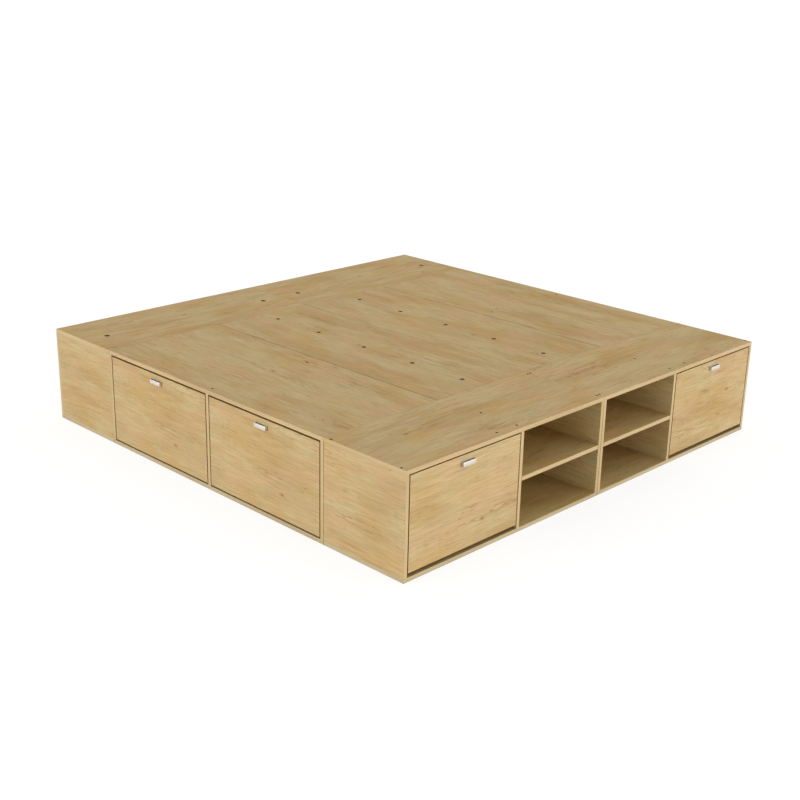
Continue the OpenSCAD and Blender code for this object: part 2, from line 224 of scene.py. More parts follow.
# %% [markdown]
# Every board is cut from its own sheet of the print, and the sheets lie side by side on
# one long UV map. That leaves room to say what each sheet shows: the tone of its wide
# bands, and its knots, in metres from the board's middle, along and across the grain.
# The two drawers of a side are cut from the same sheet, as in the photograph.
# %% Sheets of the print, with their bands and knots
SHEETS = {
    # board: [(along, across, half length, half width, warmth), ...], [knot, ...]
    "left_top": (
        [(-0.42, -0.2, 0.22, 0.06, 0.06), (0.4, 0.02, 0.28, 0.2, -0.1), (0.0, 0.02, 0.55, 0.14, -0.08)],
        [(0.01, 0.045), (0.01, 0.21)]),
    "right_top": (
        [(-0.42, -0.15, 0.26, 0.13, 0.12), (-0.15, 0.17, 0.4, 0.09, 0.1), (0.25, -0.02, 0.4, 0.1, -0.07)],
        [(0.02, -0.15)]),
    "centre_left_panel": (
        [(-0.1, -0.19, 0.6, 0.07, 0.15), (-0.3, -0.16, 0.2, 0.06, 0.07), (0.4, 0.15, 0.26, 0.11, 0.14),
         (0.0, -0.05, 0.5, 0.05, -0.08), (-0.1, 0.17, 0.45, 0.06, 0.1)],
        [(0.03, 0.005)]),
    "centre_right_panel": (
        [(-0.5, 0.13, 0.24, 0.13, 0.15), (0.0, -0.02, 0.5, 0.05, 0.09), (-0.1, -0.15, 0.4, 0.06, -0.08),
         (0.2, 0.14, 0.3, 0.05, -0.05)],
        [(-0.17, -0.02)]),
    "front_left_top": (
        [(-0.05, 0.02, 0.62, 0.055, 0.13), (0.02, 0.05, 0.2, 0.05, 0.08), (0.1, 0.14, 0.6, 0.05, -0.07)],
        [(-0.28, 0.03)]),
    "front_right_top": (
        [(0.38, -0.03, 0.22, 0.07, 0.13), (-0.3, 0.02, 0.3, 0.05, 0.08), (-0.1, 0.14, 0.5, 0.05, -0.06)],
        []),
    "rear_left_lid": ([(0.0, -0.16, 0.55, 0.04, 0.1), (0.0, 0.03, 0.45, 0.05, -0.06)], [(0.01, 0.02)]),
    "rear_right_lid": (
        [(0.3, -0.16, 0.45, 0.04, 0.08), (0.0, 0.12, 0.4, 0.05, 0.05)],
        [(0.02, 0.02), (0.31, -0.12)]),
    "side_drawer_front": (
        [(0.2, 0.06, 0.14, 0.05, 0.1), (-0.12, 0.09, 0.16, 0.05, 0.09), (-0.1, -0.01, 0.22, 0.04, 0.07),
         (0.1, -0.11, 0.22, 0.05, -0.06)],
        [(-0.102, -0.08)]),
    "front_left_drawer_front": (
        [(-0.18, 0.02, 0.15, 0.06, 0.12), (0.12, 0.1, 0.16, 0.04, 0.06), (0.1, -0.05, 0.2, 0.06, -0.05)],
        [(0.084, -0.087)]),
    "front_right_drawer_front": (
        [(0.02, -0.02, 0.2, 0.06, 0.1), (-0.16, 0.1, 0.12, 0.05, 0.08), (0.12, 0.1, 0.16, 0.04, -0.05)],
        [(0.12, 0.02)]),
    "rear_end_boards": ([(0.0, 0.05, 0.16, 0.03, 0.1), (0.0, -0.06, 0.2, 0.04, 0.07)], []),
    "front_outer_sides": ([(-0.02, -0.05, 0.13, 0.05, 0.12), (0.05, 0.11, 0.2, 0.04, 0.07)], []),
}
SHEET_PITCH = 3
CUTS = {board: (SHEET_PITCH * (i + 1), 1.0) for i, board in enumerate(SHEETS)}
print(len(CUTS), "sheets")

# %% [markdown]
# The print has five colours: a pale, a warm and a rosy tone of the wood, the late wood of
# the rings, and the pores. It could be one noise through a colour ramp, but then every
# dark line would be a dark band too; here each kind of mark is a layer with its own
# stretch along the grain. The film is matt and has no mirror layer, because a white
# studio would lay a grey veil over the dark niches.
# %% The printed oak
KNOT_PARTS = ((0.09, 0.028), (0.02, 0.009), (0.0055, 0.0036))  # the bend round it, its halo and its heart


def oak_print(name, pale, warm, rosy, line, pore, sheets):
    oak = Finish(name, specular_ior_level=0.0)
    grain = oak.node("ShaderNodeUVMap", {"uv_map": "grain"})
    across = oak.node("ShaderNodeSeparateXYZ", {}, {0: grain}, output=1)

    tone = bend = halo = heart = 0.0
    for board, (bands, knots) in sheets.items():
        left, low = CUTS[board]
        for x, y, long, wide, amount in bands:
            tone = tone + oak.blot(grain, (left + x, low + y), (long, wide)) * amount
        for x, y in knots:
            middle = (left + x, low + y)
            spots = [oak.blot(grain, middle, reach) for reach in KNOT_PARTS]
            bend, halo, heart = bend + spots[0], halo + spots[1], heart + spots[2]
    warmth = oak.noise(grain, (3.2, 8), detail=4, rough=0.55) + tone * 0.7
    colour = oak.mix(oak.step(warmth, 0.38, 0.72), pale, warm)
    colour = oak.mix(oak.step(oak.noise(grain, (4, 9), detail=3), 0.44, 0.66, 0, 0.6), colour, rosy)

    drift = oak.noise(grain, (0.6, 2.4), detail=3, rough=0.45)
    phase = across * 36 + drift * 9 + bend * 1.4
    flame = oak.step(oak.noise(grain, (1.7, 5.0), detail=2), 0.46, 0.68)
    rings = oak.math("FRACT", phase) ** 4 * (flame * 0.16 + 0.02)

    fibre = oak.noise(grain, (9, 260), detail=3, rough=0.65)
    streak = oak.step(oak.noise(grain, (3.0, 80), detail=3, rough=0.6), 0.52, 0.74) * 0.08
    level = oak.noise(grain, (2.6, 26), detail=4, rough=0.55) - 0.5 + bend * 0.06
    hair = oak.step(oak.math("ABSOLUTE", level), 0.003, 0.018, 1, 0)
    somewhere = oak.step(oak.noise(grain, (1.9, 9), detail=2), 0.53, 0.63)
    shade = oak.step(oak.noise(grain, (3.0, 14), detail=4, rough=0.6) + tone * 1.2, 0.40, 0.74) * 0.20
    colour = oak.mix(rings + streak + shade + hair * somewhere * 0.45, colour, line)
    colour = oak.mix(oak.step(fibre, 0.30, 0.66, 0.32, 0.0), colour, line)

    dash = oak.step(oak.noise(grain, (30, 900), detail=1), 0.60, 0.70)
    crowd = oak.step(oak.noise(grain, (3.0, 40), detail=2), 0.42, 0.66)
    pores = dash * crowd
    colour = oak.mix(pores * 0.32, colour, pore)
    colour = oak.mix(halo * 0.45, colour, line)
    colour = oak.mix(heart * 0.6, colour, pore)

    oak.set(
        base_color=colour,
        roughness=oak.step(fibre, 0.2, 0.8, 0.56, 0.48),
        normal=oak.relief(fibre * 0.3 - pores, 0.25, 0.0003),
    )
    return oak.material


def tinted(tones, red, green, blue):
    return [(tone[0] * red, tone[1] * green, tone[2] * blue, 1) for tone in tones]


# %% [markdown]
# The niches of the photograph are greener on their walls and browner on their floors than this light makes them,
# so their boards get tinted copies of the print: the walls a lighter, greener one, which is painted light, and the
# floors and shelves a darker, browner one, which is painted shade. That fits the picture; the real boards are all
# one material.
# %% One print for the bed, and two tinted ones for its niches: painted light on the walls, painted shade on the floors
TONES = [paint(*tone) for tone in (
    (215, 193, 146), (212, 180, 125), (218, 182, 138), (157, 122, 77), (108, 80, 44))]
OAK = oak_print("oak_print", *TONES, SHEETS)
# The walls' lighter, greener print is painted light; the floors' and shelves' darker, browner print is painted
# shade.
OAK_UPRIGHT_LIT = oak_print("oak_upright", *tinted(TONES, 1.09, 1.18, 1.16), {})
OAK_SHELF_SHADED = oak_print("oak_shelf", *tinted(TONES, 0.92, 0.92, 0.80), {})

# %% [markdown]
# A board's edges are closed with a thin plastic band, a little paler than the film,
# with streaks along it. Where a hole is drilled the chipboard shows: chips of many
# tones in a darker glue. The undersides of the thin boards are plain brown hardboard.
#
# A gap of three millimetres is one pixel wide from the camera. The photograph is sharpened and shows it nearly
# black, so two darker bands paint shade into it: a browner band on the edges of the drawer fronts, and a nearly
# black one on the arrises that face another board across a gap. The real edges have the same band as the rest. The
# lowest edges of the bed look a little greyer in it, next to all that white, so the bottom boards have a greyer
# band, which is painted shade along the floor.
# %% Edge band, chipboard and hardboard
def edge_band(name, pale, line, shine):
    band = Finish(name, roughness=0.42, specular_ior_level=shine)
    grain = band.node("ShaderNodeUVMap", {"uv_map": "grain"})
    streaks = band.noise(grain, (5, 420), detail=3, rough=0.6)
    tone = band.noise(grain, (2.2, 30), detail=2)
    colour = band.mix(band.step(tone, 0.35, 0.7) * 0.35, pale, line)
    band.set(base_color=band.mix(band.step(streaks, 0.5, 0.75) * 0.3, colour, line))
    return band.material


def pressed_board(name, glue, chip, dark, size, relief):
    board = Finish(name, roughness=0.85)
    place = board.node("ShaderNodeTexCoord", output="Object")
    cell = {"Vector": place, "Scale": 1 / size, "Randomness": 1.0}
    chips = board.node("ShaderNodeTexVoronoi", {"feature": "F1"}, cell, output="Color")
    tone = board.node("ShaderNodeSeparateColor", {}, {0: chips})
    rim = board.node("ShaderNodeTexVoronoi", {"feature": "F1"}, cell)
    stops = ((0.0, glue), (0.75, chip), (0.82, dark), (0.88, chip), (1.0, glue))
    board.set(
        base_color=board.node("ShaderNodeValToRGB", {"stops": stops}, {0: tone}),
        normal=board.relief(rim, 0.6, relief),
    )
    return board.material


OAK_EDGE = edge_band("oak_edge", paint(210, 182, 132), paint(178, 145, 93), 0.3)
# The bottom band is greyer: painted shade along the floor.
BOTTOM_EDGE_SHADE = edge_band("bottom_edge", paint(199, 182, 144), paint(168, 145, 103), 0.3)
# The drawer-front band is browner: painted shade for the gaps round the drawers.
FRONT_EDGE_SHADE = edge_band("front_edge", paint(178, 143, 90), paint(146, 113, 66), 0.0)
# The seam band is nearly black: painted shade inside the gaps between boards.
SEAM_SHADE = edge_band("seam", paint(58, 36, 8), paint(42, 25, 5), 0.0)
CHIPBOARD = pressed_board(
    "chipboard_core", paint(120, 88, 56), paint(170, 134, 92), paint(74, 50, 30), 0.0012, 0.0004)
HARDBOARD = pressed_board(
    "hardboard_back", paint(112, 78, 50), paint(128, 92, 60), paint(92, 62, 40), 0.0006, 0.0001)

# %% [markdown]
# The metals are told apart by their finish. The pulls are matt anodised aluminium with a fine brushing along them,
# and darker inside, which is painted shade in the pocket; their milky skin scatters half the light, so they are
# only half as metallic as the rest. The slides are zinc-plated and cloudy, the carcass screws are browned steel,
# and the small screws are bright.
# %% Metals
def metal(name, light, dark, brush, clouds, roughness, metallic=1.0):
    made = Finish(name, metallic=metallic)
    place = made.node("ShaderNodeTexCoord", output="Object")
    fine = made.noise(place, brush, detail=3, rough=0.6)
    broad = made.noise(place, clouds, detail=3)
    made.set(
        base_color=made.mix(made.step(broad, 0.35, 0.7) * 0.5 + fine * 0.25, light, dark),
        roughness=made.step(fine, 0.3, 0.7, roughness - 0.06, roughness + 0.08),
        normal=made.relief(fine, 0.12, 0.0001),
    )
    return made.material


BRUSHED = (300, 300, 5200)
GRAINY = (900, 900, 900)
PULL_METAL = metal(
    "pull_aluminium", paint(210, 203, 190), paint(188, 181, 168), BRUSHED, (18, 18, 60), 0.5, 0.5)
# The pocket's darker, warmer colour is painted shade.
PULL_POCKET_SHADE = metal(
    "pull_pocket", paint(178, 166, 140), paint(144, 133, 110), BRUSHED, (18, 18, 90), 0.6, 0.5)
ZINC = metal("zinc_plate", paint(206, 210, 214), paint(170, 174, 178), (160, 160, 2600), (45, 45, 45), 0.33)
BROWN_STEEL = metal("browned_steel", paint(96, 80, 62), paint(58, 48, 38), GRAINY, (120, 120, 120), 0.5)
SCREW_STEEL = metal("bright_steel", paint(190, 192, 194), paint(150, 152, 154), GRAINY, (200, 200, 200), 0.3)
print(len(bpy.data.materials), "finishes")

# %% [markdown]
# ## Boards
#
# Every board of the bed is a box with two printed faces and banded edges. The solids
# already say where each one is, so a board is found as one loose part of a node, and
# is built again a hair softer: the arris of edge banding is scraped to about half a
# millimetre, and that is what catches the light. The grain always runs along the
# longest side, as on the photograph.
# %% Find the separate solids of a node
def loose_parts(node):
    """The low and high corners of each separate solid in a node, nearest the left front first."""
    mesh = bmesh.new()
    mesh.from_mesh(solids[node].data)
    bmesh.ops.remove_doubles(mesh, verts=mesh.verts, dist=1e-6)
    left, parts = set(mesh.verts), []
    while left:
        todo, part = [left.pop()], []
        while todo:
            vertex = todo.pop()
            part.append(vertex.co.copy())
            near = {edge.other_vert(vertex) for edge in vertex.link_edges} & left
            left -= near
            todo += near
        parts.append(tuple(Vector(pick(axis) for axis in zip(*part)) for pick in (min, max)))
    mesh.free()
    return sorted(parts, key=lambda part: tuple(round(v, 4) for v in part[0]))


def keep(name, mesh, node, stands_for=True):
    """Makes a mesh a finished piece that rides with its node's body."""
    piece = add(name, mesh)
    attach(piece, carried_by[node])
    if stands_for:
        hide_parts(node)
    return piece


print("boards of the front bottoms:", [[round(v, 3) for v in low] for low, _ in loose_parts("front_bottoms")])

# %% [markdown]
# A hole is drilled with a Boolean. One Geometry Nodes tree does it for every board:
# it puts a cutter on each point of a small cloud of points and takes the cutters
# away from the board. The cutter's own faces keep a mark through the Boolean, so the
# tree can give the walls of the holes the chipboard.
# %% Turned shapes and the drilling tree
def to_mesh(name, shape, materials=()):
    """A mesh with its materials from a bmesh, which is freed."""
    made = bpy.data.meshes.new(name)
    for material in materials:
        made.materials.append(material)
    shape.to_mesh(made)
    shape.free()
    return made


def loft(rings):
    """A closed shape through rings of points, each anticlockwise from above, lowest first."""
    shape = bmesh.new()
    rings = [[shape.verts.new(point) for point in ring] for ring in rings]
    count = len(rings[0])
    for lower, upper in zip(rings, rings[1:]):
        for i in range(count):
            j = (i + 1) % count
            shape.faces.new((lower[i], lower[j], upper[j], upper[i]))
    shape.faces.new(reversed(rings[0]))
    shape.faces.new(rings[-1])
    return to_mesh("shape", shape)


def turned(outline, sides):
    """A shape turned about Z from (radius, height) pairs, lowest first."""
    angles = [2 * math.pi * i / sides for i in range(sides)]
    return loft([[(r * math.cos(a), r * math.sin(a), z) for a in angles] for r, z in outline])


HELPERS = []


def helper(name, mesh):
    """An object that only feeds a tree; it is removed when the scene is finished."""
    made = add(name, mesh)
    HELPERS.append(made)
    return made


def point_cloud(points):
    """Points with the direction that each one aims at, as (place, aim) pairs."""
    mesh = bpy.data.meshes.new("spots")
    mesh.from_pydata([place for place, _ in points], [], [])
    aim = mesh.attributes.new("aim", "FLOAT_VECTOR", "POINT")
    aim.data.foreach_set("vector", [v for _, direction in points for v in direction])
    return mesh


def new_tree(name, sockets):
    """An empty Geometry Nodes tree with a geometry socket and named inputs, and its group input."""
    tree = bpy.data.node_groups.new(name, "GeometryNodeTree")
    tree.interface.new_socket("Geometry", in_out="INPUT", socket_type="NodeSocketGeometry")
    for socket, kind in sockets.items():
        tree.interface.new_socket(socket, in_out="INPUT", socket_type=f"NodeSocket{kind}")
    tree.interface.new_socket("Geometry", in_out="OUTPUT", socket_type="NodeSocketGeometry")
    graph = Graph(tree)
    given = tree.nodes.new("NodeGroupInput")
    return graph, {socket.name: Link(graph, socket) for socket in given.outputs if socket.name}


def bake(item):
    """The plain mesh that an object's modifiers make; the object is removed."""
    bpy.context.view_layer.update()
    made = bpy.data.meshes.new_from_object(item.evaluated_get(bpy.context.evaluated_depsgraph_get()))
    bpy.data.objects.remove(item)
    return made


def run_tree(tree, mesh, **values):
    """Runs a tree on a mesh, with its inputs set by name, and returns the plain mesh it makes."""
    carrier = add("carrier", mesh)
    modifier = carrier.modifiers.new("tree", "NODES")
    modifier.node_group = tree
    for item in tree.interface.items_tree:
        if item.in_out == "INPUT" and item.name in values:
            modifier[item.identifier] = values[item.name]
    return bake(carrier)


def finish_tree(graph, geometry, material, selection=None):
    """Ends a tree with real geometry and its material."""
    real = graph.node("GeometryNodeRealizeInstances", {}, {"Geometry": geometry})
    inputs = {"Geometry": real, "Material": material}
    if selection:
        inputs["Selection"] = selection
    done = graph.node("GeometryNodeSetMaterial", {}, inputs)
    result = graph.tree.nodes.new("NodeGroupOutput")
    graph.tree.links.new(done.socket, result.inputs[0])
    return graph.tree


def shape_of(graph, item):
    """The geometry of an object that a tree is given."""
    return graph.node("GeometryNodeObjectInfo", {}, {"Object": item}, output="Geometry")


def cut_away(graph, mesh, cutters):
    return graph.node("GeometryNodeMeshBoolean", {"operation": "DIFFERENCE", "solver": "EXACT"},
                      {"Mesh 1": mesh, "Mesh 2": cutters})


def placed(graph, points, shape):
    """Copies of an object on points, each with its Z along the point's aim."""
    aim = graph.node("GeometryNodeInputNamedAttribute", {"data_type": "FLOAT_VECTOR"}, {"Name": "aim"})
    turn = graph.node("FunctionNodeAlignRotationToVector", {"axis": "Z"}, {"Vector": aim})
    copy = {"Points": points, "Instance": shape_of(graph, shape), "Rotation": turn}
    return graph.node("GeometryNodeInstanceOnPoints", {}, copy)


def make_drill():
    graph, given = new_tree("drill", {"Spots": "Object", "Cutter": "Object", "Bore": "Material"})
    cutters = placed(graph, shape_of(graph, given["Spots"]), given["Cutter"])
    cutters = graph.node("GeometryNodeRealizeInstances", {}, {"Geometry": cutters})
    marked = graph.node(
        "GeometryNodeStoreNamedAttribute",
        {"data_type": "BOOLEAN", "domain": "FACE"},
        {"Geometry": cutters, "Name": "bore", "Value": True},
    )
    bore = graph.node("GeometryNodeInputNamedAttribute", {"data_type": "BOOLEAN"}, {"Name": "bore"})
    return finish_tree(graph, cut_away(graph, given["Geometry"], marked), given["Bore"], bore)


DRILL = make_drill()

# %% [markdown]
# The carcass screws go through the tops, bottoms and backs, with their heads just
# below the face. The finger and air holes are rounded over at both faces so that
# they don't chip, which the cutter's flared ends do.
# %% Cutters and where they drill
BOARD = 0.015
ARRIS = 0.0005
FRONT_ARRIS = 0.001
FINGER_X, FINGER_INSET = (0.8983, 0.1003), 0.214
AIR_X, AIR_Y = 0.23515, (-0.52, -0.265, 0, 0.265, 0.52)
SPARE_X, SPARE_Y, SPARE_SINK = 0.5498, -0.95735, 0.0012
SPOT_REACH = 0.004
METAL_WORDS = ("rail", "pull", "screws", "pins", "bolts")
screw_cutter = helper("screw_cutter", turned([
    (0.0036, -0.02), (0.0036, -0.0052), (0.0049, -0.0039), (0.0049, 0.004)], 32))


def through_cutter(name, radius, flare):
    half = BOARD / 2
    outline = [(radius + out * flare, inward * flare - half)
               for out, inward in ((2, -1), (1, 0), (0.3, 0.4), (0, 1.2))]
    outline += [(r, -z) for r, z in reversed(outline)]
    return helper(name, turned(outline, 48))


finger_cutter = through_cutter("finger_cutter", 0.011, 0.0008)
air_cutter = through_cutter("air_cutter", 0.009, 0.0005)
bed_low, bed_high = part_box("left_top")
_, lid_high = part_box("rear_left_lid")


def screw_spots():
    """Head places and outward aims of the carcass screws, read from their solids."""
    spots = []
    for low, high in loose_parts("carcass_screws"):
        middle, size = (low + high) / 2, high - low
        if size.y > size.z:
            spots.append((Vector((middle.x, high.y, middle.z)), Vector((0, 1, 0))))
        elif middle.z > bed_high.z / 2:
            spots.append((Vector((middle.x, middle.y, high.z)), Vector((0, 0, 1))))
        else:
            spots.append((Vector((middle.x, middle.y, low.z)), Vector((0, 0, -1))))
    return spots


def on_top(places, sink):
    """Spots on both halves of the bed, at a depth under its top, that aim up."""
    return [(Vector((side * x, y, bed_high.z - sink)), Vector((0, 0, 1)))
            for side in (-1, 1) for x, y in places]


SCREWS = screw_spots()
FINGER_HOLES = on_top([(x, lid_high.y - FINGER_INSET) for x in FINGER_X], BOARD / 2)
AIR_HOLES = on_top([(AIR_X, (bed_low.y + bed_high.y) / 2 + y) for y in AIR_Y], BOARD / 2)
SPARE = on_top([(SPARE_X, SPARE_Y)], SPARE_SINK)
BOARDS = [part for node in solids if not any(word in node for word in METAL_WORDS)
          for part in loose_parts(node)]
print(len(SCREWS), "screws", len(FINGER_HOLES) + len(AIR_HOLES), "larger holes", len(BOARDS), "boards")

# %% [markdown]
# A rounded box is a cube whose edges are bevelled. After any drilling, each face is told what it is by the way it
# points: along the board's thin side it is printed, and the rest is edge band. An arris with another board just
# across a gap gets painted shade, nearly black, and the drawer fronts are scraped twice as far as the rest, which
# widens that painted dark line. The same pass lays out the UV map in metres.
# %% Build a board and lay its print
def rounded_box(low, high, arris, materials):
    mesh = bmesh.new()
    bmesh.ops.create_cube(mesh, size=1)
    size = high - low
    for vertex in mesh.verts:
        vertex.co = low + Vector((c + 0.5) * s for c, s in zip(vertex.co, size))
    bmesh.ops.bevel(mesh, geom=mesh.edges[:], offset=arris, segments=2, profile=0.5, affect="EDGES")
    return to_mesh("board", mesh, materials)


JOINT_REACH = 0.0002
SEAM_REACH = 0.0056
INSIDE = 0.001
SLANT, FLAT = 0.3, 0.99
MIDDLE_JOINT = 0.1
THIN_BOARD = 0.004


def holds(box, place):
    return all(a < v < b for a, v, b in zip(box[0], place, box[1]))


def at_seam(place, normal, low, high, beside, axes):
    """True on an arris that faces another board across a seam, which is wider than a joint."""
    inside = Vector(v - math.copysign(INSIDE, n) if abs(n) > SLANT else v for v, n in zip(place, normal))
    for axis in axes:
        if abs(normal[axis]) > SLANT and (len(axes) > 1 or abs(place.x) > MIDDLE_JOINT):
            rim = (high if normal[axis] > 0 else low)[axis]
            near, far = inside.copy(), inside.copy()
            near[axis] = rim + math.copysign(JOINT_REACH, normal[axis])
            far[axis] = rim + math.copysign(SEAM_REACH, normal[axis])
            if any(holds(box, far) for box in beside) and not any(holds(box, near) for box in beside):
                return True
    return False


def lay_print(mesh, low, high, cut_at, seams, plain_side):
    """Gives each face its UVs and its slot: 0 print, 1 edge band, 2 bore or plain side, 3 painted shade at a seam.
    """
    size, middle = high - low, (low + high) / 2
    reach = Vector([SEAM_REACH] * 3)
    beside = [box for box in BOARDS
              if all(a < d and c < b for a, b, c, d in zip(low - reach, high + reach, *box))]
    thin, short, long = sorted(range(3), key=lambda axis: size[axis])
    grain = mesh.uv_layers.new(name="grain")
    for face in mesh.polygons:
        along, across = long, short
        if face.material_index != 2:
            facing = max(range(3), key=lambda axis: abs(face.normal[axis]))
            face.material_index = 0 if facing == thin else 1
            if facing == short:
                across = thin
            elif facing == long:
                along, across = short, thin
            if facing == thin and face.normal[thin] * plain_side > 0:
                face.material_index = 2
            slants = abs(face.normal[facing]) < FLAT
            # An arris across a gap gets the painted shade of the seam band.
            if slants and at_seam(face.center, face.normal, low, high, beside, seams):
                face.material_index = 3
        for corner in face.loop_indices:
            place = mesh.vertices[mesh.loops[corner].vertex_index].co - middle
            grain.data[corner].uv = (place[along] + cut_at[0], place[across] + cut_at[1])


def join(name, meshes, materials):
    """One mesh from several, sharing one list of materials."""
    whole = bmesh.new()
    for mesh in meshes:
        whole.from_mesh(mesh)
        bpy.data.meshes.remove(mesh)
    return to_mesh(name, whole, materials)


# %% [markdown]
# Now the boards themselves. Each node names the finish of its printed faces. Nodes
# that get holes name their cutter and spots, and the spots that miss a board simply
# cut nothing. The tops say which way they look for gaps: in the photograph only some of
# their joints are dark.
# %% Make every board
def in_reach(spots, low, high):
    """The spots whose cutter meets a board, given by its corners."""
    return [(place, aim) for place, aim in spots
            if all(a - SPOT_REACH <= v <= b + SPOT_REACH for v, a, b in zip(place, low, high))]


def wooden_piece(node, face, spots=(), cutter=None, seams=(0, 1, 2), edge=OAK_EDGE,
                 arris=ARRIS, back=CHIPBOARD, plain_side=0):
    sheet = CUTS.get(node) or (CUTS["side_drawer_front"] if node.endswith("_drawer_front") else None)
    boards = []
    for number, (low, high) in enumerate(loose_parts(node)):
        mesh = rounded_box(low, high, arris, (face, edge))
        holes = in_reach(spots, low, high)
        if holes:
            cloud = helper("spots", point_cloud(holes))
            mesh = run_tree(DRILL, mesh, Spots=cloud, Cutter=cutter, Bore=CHIPBOARD)
            bored = {i for i, m in enumerate(mesh.materials) if m == CHIPBOARD}
            for polygon in mesh.polygons:
                polygon.material_index = 2 if polygon.material_index in bored else 0
        chance = random.Random(f"{node} {number}")
        cut_at = sheet or (chance.uniform(2, 40), chance.uniform(3, 9))
        is_thin = min((high - low).yz) < THIN_BOARD
        lay_print(mesh, low, high, cut_at, seams, plain_side if is_thin else 0)
        boards.append(mesh)
    mesh = join(f"oak_{node}", boards, [face, edge, back, SEAM_SHADE])
    mesh.shade_flat()
    return keep(f"oak_{node}", mesh, node)


for nodes, spots, cutter, seams in (
    (("front_left_top", "front_right_top"), SCREWS + SPARE, screw_cutter, ()),
    (("left_top", "right_top"), SCREWS, screw_cutter, (0,)),
    (("rear_left_lid", "rear_right_lid"), FINGER_HOLES, finger_cutter, ()),
    (("centre_left_panel", "centre_right_panel"), AIR_HOLES, air_cutter, (0,)),
):
    for node in nodes:
        wooden_piece(node, OAK, spots, cutter, seams)
# The bottoms' edges get the greyer band, painted shade along the floor.
for node, face in (("front_bottoms", OAK_SHELF_SHADED), ("side_bottoms", OAK)):
    wooden_piece(node, face, SCREWS, screw_cutter, edge=BOTTOM_EDGE_SHADE)
wooden_piece("rear_back_boards", OAK, SCREWS, screw_cutter)
wooden_piece("rear_bottoms", OAK, edge=BOTTOM_EDGE_SHADE)
wooden_piece("front_shelves", OAK_SHELF_SHADED)
for node in ("front_inner_sides", "front_dividers"):
    wooden_piece(node, OAK_UPRIGHT_LIT)
for node in ("front_outer_sides", "side_end_boards", "side_dividers", "side_backs", "rear_end_boards",
             "rear_front_boards", "centre_beam", "centre_ledgers", "rear_left_lid_cleats",
             "rear_right_lid_cleats"):
    wooden_piece(node, OAK)
wooden_piece("front_backs", OAK_UPRIGHT_LIT, back=HARDBOARD, plain_side=1)

DRAWERS = [node.removesuffix("_drawer_front") for node in solids if node.endswith("_drawer_front")]
for drawer in DRAWERS:
    # The drawer fronts' edges get the browner band, painted shade for the gaps round them.
    wooden_piece(f"{drawer}_drawer_front", OAK, edge=FRONT_EDGE_SHADE, arris=FRONT_ARRIS)
    wooden_piece(f"{drawer}_drawer_box", OAK, back=HARDBOARD, plain_side=-1)

# %% [markdown]
# ## Pulls
#
# Each drawer has a small cup pull of bent and welded aluminium: a box that is open at the top, so that the
# fingertips hook in behind its front wall, and whose back plate stands a little higher. It is built from the cells
# of a small grid: the cells that are metal are filled, and only the faces between a full and an empty cell are
# made. The faces round the pocket and the front of the back plate are marked on the way for a darker, warmer
# colour, which is painted shade in the pocket. All edges are then broken, because a sharp metal edge would cut the
# fingers and would not catch the light.
# %% Make the pulls
def towards(drawer):
    """The way that a drawer opens, and the turn from -Y to that way."""
    way = next(Vector(joint["axis"]) for joint in frame["joints"] if joint["child"] == f"{drawer}_drawer")
    return way, Matrix.Rotation(math.atan2(way.x, -way.y), 4, "Z")


def cup(width, depth, height, wall, lip_drop, arris):
    """A cup pull that stands on the plane Y = 0 and reaches to -Y, with its pocket open upwards."""
    half = width / 2
    lines = ([-half, wall - half, half - wall, half], [-depth, wall - depth, -wall, 0],
             [0, wall, height - lip_drop, height])
    full = {(x, y, z) for x, y, z in product(range(3), repeat=3)
            if z == 0 or y == 2 or (z == 1 and (x != 1 or y == 0))}
    mesh = bmesh.new()
    for cell, axis, side in product(full, range(3), (0, 1)):
        beside = tuple(n + (2 * side - 1) * (i == axis) for i, n in enumerate(cell))
        if beside not in full:
            corners = []
            for first, second in ((0, 0), (1, 0), (1, 1), (0, 1)):
                step = {axis: side, (axis + 1) % 3: first, (axis + 2) % 3: second}
                corners.append(mesh.verts.new([lines[i][cell[i] + step[i]] for i in range(3)]))
            face = mesh.faces.new(corners if side else reversed(corners))
            # Slot 1 is the painted shade of the pocket and of the back plate's front.
            face.material_index = int(beside == (1, 1, 1) or (axis == 1 and side == 0 and cell[1] == 2))
    bmesh.ops.remove_doubles(mesh, verts=mesh.verts, dist=1e-6)
    bmesh.ops.dissolve_limit(
        mesh, angle_limit=math.radians(1), verts=mesh.verts, edges=mesh.edges, delimit={"MATERIAL"})
    bmesh.ops.bevel(mesh, geom=mesh.edges[:], offset=arris, segments=3, profile=0.5, affect="EDGES")
    made = to_mesh("cup", mesh, [PULL_METAL, PULL_POCKET_SHADE])
    made.shade_smooth()
    return made


PULL_PARTS = {drawer: sorted(loose_parts(f"{drawer}_pull"), key=lambda part: (part[1] - part[0]).length)
              for drawer in DRAWERS}
for drawer in DRAWERS:
    low, high = PULL_PARTS[drawer][-1]
    way, turn = towards(drawer)
    foot = Vector(((low.x + high.x) / 2, (low.y + high.y) / 2, low.z))
    size = turn.inverted().to_3x3() @ (high - low)
    mesh = cup(abs(size.x), abs(size.y), size.z, wall=0.0015, lip_drop=0.004, arris=0.0003)
    mesh.transform(Matrix.Translation(foot - way * abs(size.y) / 2) @ turn)
    keep(f"pull_{drawer}", mesh, f"{drawer}_pull")
print("pull", [round(abs(v) * 1000, 1) for v in size], "mm")

# %% [markdown]
# ## Screws
#
# The fasteners are copies of a few turned shapes, so one Geometry Nodes tree places
# them all: countersunk connector screws with a six-sided socket, pan heads with a
# cross for the pulls, flat heads for the slides, joining bolts between the modules,
# and the pins under the niche shelves.
# %% Turned fasteners with their recesses
def prism(outline, low, high):
    """An outline of (x, y) points, anticlockwise, drawn up from one height to another."""
    return loft([[(x, y, z) for x, y in outline] for z in (low, high)])


